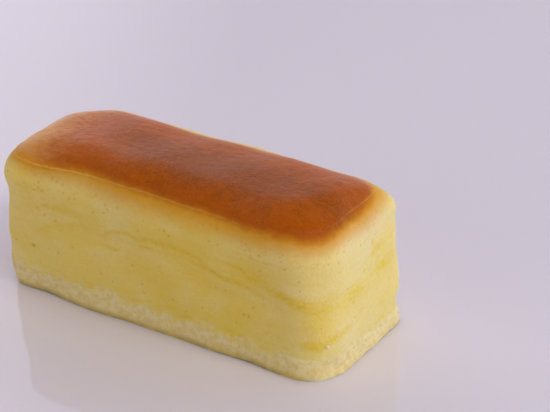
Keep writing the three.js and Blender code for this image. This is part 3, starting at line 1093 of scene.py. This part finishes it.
# The sheen of the skin by the distance from the crease, and its roughness by the browning
SHEEN_EDGE = Ramp(-1.5, 1.0)
SKIN_ROUGHNESS = Ramp(0.95, 1.4, 0.3, 0.38)
SIDE_ROUGHNESS = 0.62
FACE_GRAIN = Mottle(0.6, 4.0, 0.65)
FACE_GRAIN_BY_SHEEN = Ramp(0.0, 1.0, 1.0, 0.85)
FACE_GRAIN_DEPTH = 0.16
FINE_PORE_DEPTH = 0.08
# The share of light that goes into the batter, by the height over the seam, and how far in millimetres
SIDE_SOFTNESS = Ramp(0.2, 4.0, 0.0, 0.75)
SIDE_SCATTER = 6.0


def cheesecake_material():
    shader = Shader("baked_cheesecake_skin")
    crust = shader.attribute("crust_mm")
    above_seam = shader.attribute("seam_mm")
    side = side_colour(shader, above_seam)
    side = shader.mix(crumb_share(shader, above_seam), side, crumb_colour(shader))
    colour = crust_colour(shader, crust, side)

    sheen = shader.step(crust, SHEEN_EDGE)
    grain = shader.times(shader.noise(FACE_GRAIN), shader.step(sheen, FACE_GRAIN_BY_SHEEN))
    normal = shader.bump(grain, FACE_GRAIN_DEPTH)
    normal = shader.bump(shader.pores(FINE_PORES), -FINE_PORE_DEPTH, normal)
    skin = shader.step(shader.attribute("browning"), SKIN_ROUGHNESS)
    roughness = shader.node("ShaderNodeMix", {0: sheen, 2: SIDE_ROUGHNESS, 3: skin}).outputs[0]
    shader.join(shader.step(above_seam, SIDE_SOFTNESS), shader.bsdf.inputs["Subsurface Weight"])
    return shader.finish(colour, normal, roughness, Subsurface_Scale=SIDE_SCATTER * MM,
                         Subsurface_Radius=SUBSURFACE_RADIUS, IOR=1.42, Specular_IOR_Level=0.24)


# How deep the foot's painted shade colours the crumb
FOOT_SHADE_SHARE = Ramp(0.0, 1.0, 0.0, 0.9)
CRUMB_GRAIN = Mottle(0.8, 4.0, 0.65)
CRUMB_GRAIN_DEPTH = 0.2
SPONGE_SOFTNESS = Ramp(-0.2, -2.0, 0.0, 0.7)
SPONGE_SCATTER = 2.0
CRUMB_ROUGHNESS = 0.85
CRUMB_IOR = 1.4


def sponge_material():
    shader = Shader("sponge_crumb")
    above_seam = shader.attribute("seam_mm")
    crumb = shader.mix(shader.step(shader.attribute("foot"), FOOT_SHADE_SHARE), crumb_colour(shader), CRUMB_FOOT_SHADE)
    # The sponge's paler yellow on the right end is in part painted light, where the key light falls
    yellow = shader.mix(shader.attribute("pale"), YELLOW, PALE_LIT_YELLOW)
    colour = shader.mix(crumb_share(shader, above_seam), yellow, crumb)
    normal = shader.bump(shader.noise(CRUMB_GRAIN), CRUMB_GRAIN_DEPTH)
    shader.join(shader.step(above_seam, SPONGE_SOFTNESS), shader.bsdf.inputs["Subsurface Weight"])
    return shader.finish(colour, normal, CRUMB_ROUGHNESS, Subsurface_Scale=SPONGE_SCATTER * MM,
                         Subsurface_Radius=SUBSURFACE_RADIUS, IOR=CRUMB_IOR)


LOOSE_MOTTLE = Mottle(0.5, 2.0, 0.5)
LOOSE_GRAIN = Mottle(0.3, 2.0, 0.5)
LOOSE_GRAIN_DEPTH = 0.05


def crumb_material():
    shader = Shader("loose_crumb")
    normal = shader.bump(shader.noise(LOOSE_GRAIN), LOOSE_GRAIN_DEPTH)
    colour = shader.mix(shader.noise(LOOSE_MOTTLE), CRUMB_WHITE, CRUMB_PALE)
    return shader.finish(colour, normal, CRUMB_ROUGHNESS, IOR=CRUMB_IOR)


FLOOR_COLOURS = (linear(233, 229, 243), linear(229, 224, 239))
FLOOR_MOTTLE = Mottle(300.0, 2.0, 0.5)
FLOOR_ROUGHNESS = 0.04
FLOOR_SCATTER = 9.0


def floor_material():
    shader = Shader("glazed_floor")
    colour = shader.mix(shader.noise(FLOOR_MOTTLE), *FLOOR_COLOURS)
    return shader.finish(colour, (0.0, 0.0, 0.0), FLOOR_ROUGHNESS, IOR=1.5, Subsurface_Weight=0.5,
                         Subsurface_Scale=FLOOR_SCATTER * MM, Subsurface_Radius=(0.8, 0.9, 1.0))


# ---- Stage ----
# The length of the floor's sides, in metres
FLOOR_SIZE = 4.0

# The camera: angles in degrees, distances in millimetres
VIEW_AZIMUTH = 35.05
VIEW_ELEVATION = 26.91
VIEW_ROLL = -2.14
VIEW_DISTANCE = 371.8
VIEW_TARGET = (23.98, 0.0, 32.82)
CLIP_START = 10.0
LENS = 100.9
SENSOR = 36.0

# Round lamps that face the bar, with places and sizes in metres
Light = namedtuple("Light", "place size watts colour")
LIGHTS = {
    "key": Light((1.6, 0.04, 1.0), 0.7, 13.5, (1.0, 0.985, 0.93)),
    "fill": Light((-0.5, -1.15, 0.36), 1.0, 2.7, (1.0, 0.9, 0.75)),
    "top": Light((0.55, -0.45, 1.1), 0.8, 2.9, (1.0, 0.97, 0.97)),
}
WORLD_BACK = linear(180, 174, 186)
WORLD_LEFT = linear(236, 228, 241)
WORLD_FRONT = linear(112, 106, 100)
WORLD_OVERHEAD = linear(30, 28, 28)
WORLD_STRENGTH = 1.9
# Where one colour of the world blends into the next, along X, Y and Z
LEFT_TO_BACK = Ramp(-0.68, -0.54)
FRONT_TO_BACK = Ramp(-0.3, 0.5)
AROUND_TO_OVERHEAD = Ramp(0.56, 0.92)


def make_floor():
    half = FLOOR_SIZE / 2 / MM
    corners = [(-half, -half), (half, -half), (half, half), (-half, half)]
    floor = make_object("floor", np.array([(x, y, FLOOR_HEIGHT) for x, y in corners]), [(0, 1, 2, 3)])
    floor.data.materials.append(floor_material())


def make_camera():
    """A camera at the photograph's viewing angle."""
    azimuth, elevation, roll = (math.radians(a) for a in (VIEW_AZIMUTH, VIEW_ELEVATION, VIEW_ROLL))
    back = Vector((math.sin(azimuth) * math.cos(elevation), -math.cos(azimuth) * math.cos(elevation),
                   math.sin(elevation)))
    right = Vector((math.cos(azimuth), math.sin(azimuth), 0.0))
    up = back.cross(right)
    turned_right = right * math.cos(roll) + up * math.sin(roll)
    turned_up = up * math.cos(roll) - right * math.sin(roll)
    camera = bpy.data.objects.new("camera", bpy.data.cameras.new("camera"))
    camera.data.sensor_width = SENSOR
    camera.data.lens = LENS
    camera.data.clip_start = CLIP_START * MM
    axes = Matrix((turned_right, turned_up, back)).transposed().to_4x4()
    place = (Vector(VIEW_TARGET) + back * VIEW_DISTANCE) * MM
    camera.matrix_world = Matrix.Translation(place) @ axes
    bpy.context.scene.collection.objects.link(camera)
    bpy.context.scene.camera = camera


def make_lights():
    for name, light in LIGHTS.items():
        data = bpy.data.lights.new(name, "AREA")
        data.shape = "DISK"
        data.size = light.size
        data.energy = light.watts
        data.color = light.colour
        lamp = bpy.data.objects.new(name, data)
        place = Vector(light.place)
        lamp.matrix_world = Matrix.Translation(place) @ place.to_track_quat("Z", "Y").to_matrix().to_4x4()
        bpy.context.scene.collection.objects.link(lamp)


def make_world():
    """Soft light from all round: pale behind the bar, darker in front of it and overhead."""
    world = bpy.data.worlds.new("studio")
    world.use_nodes = True
    nodes = Nodes(world.node_tree)
    direction = nodes.node("ShaderNodeTexCoord", {}).outputs["Generated"]
    axes = nodes.node("ShaderNodeSeparateXYZ", {0: direction}).outputs
    back = nodes.mix(nodes.step(axes["X"], LEFT_TO_BACK), WORLD_LEFT, WORLD_BACK)
    around = nodes.mix(nodes.step(axes["Y"], FRONT_TO_BACK), WORLD_FRONT, back)
    sky = nodes.mix(nodes.step(axes["Z"], AROUND_TO_OVERHEAD), around, WORLD_OVERHEAD)
    background = nodes.tree.nodes["Background"].inputs
    nodes.join(sky, background["Color"])
    nodes.join(WORLD_STRENGTH, background["Strength"])
    bpy.context.scene.world = world


# ---- The scene ----
SEED = 7

rng = np.random.default_rng(SEED)
shift = frame_shift()

cheesecake = make_cheesecake(shift, FRONT_STREAKS + random_streaks(rng), FRONT_PORES + random_pores(rng),
                             SEEN_SLITS + random_slits(rng))
cheesecake.data.materials.append(cheesecake_material())
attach(cheesecake, "root")
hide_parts("cheesecake_body")

sponge = make_sponge(shift)
sponge.data.materials.append(sponge_material())
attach(sponge, "root")
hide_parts("sponge_base")

crumbs = make_crumbs(shift, SEEN_CRUMBS + random_crumbs(rng))
crumbs.data.materials.append(crumb_material())
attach(crumbs, "root")

make_floor()
make_camera()
make_lights()
make_world()
bpy.context.scene.view_settings.view_transform = "Standard"
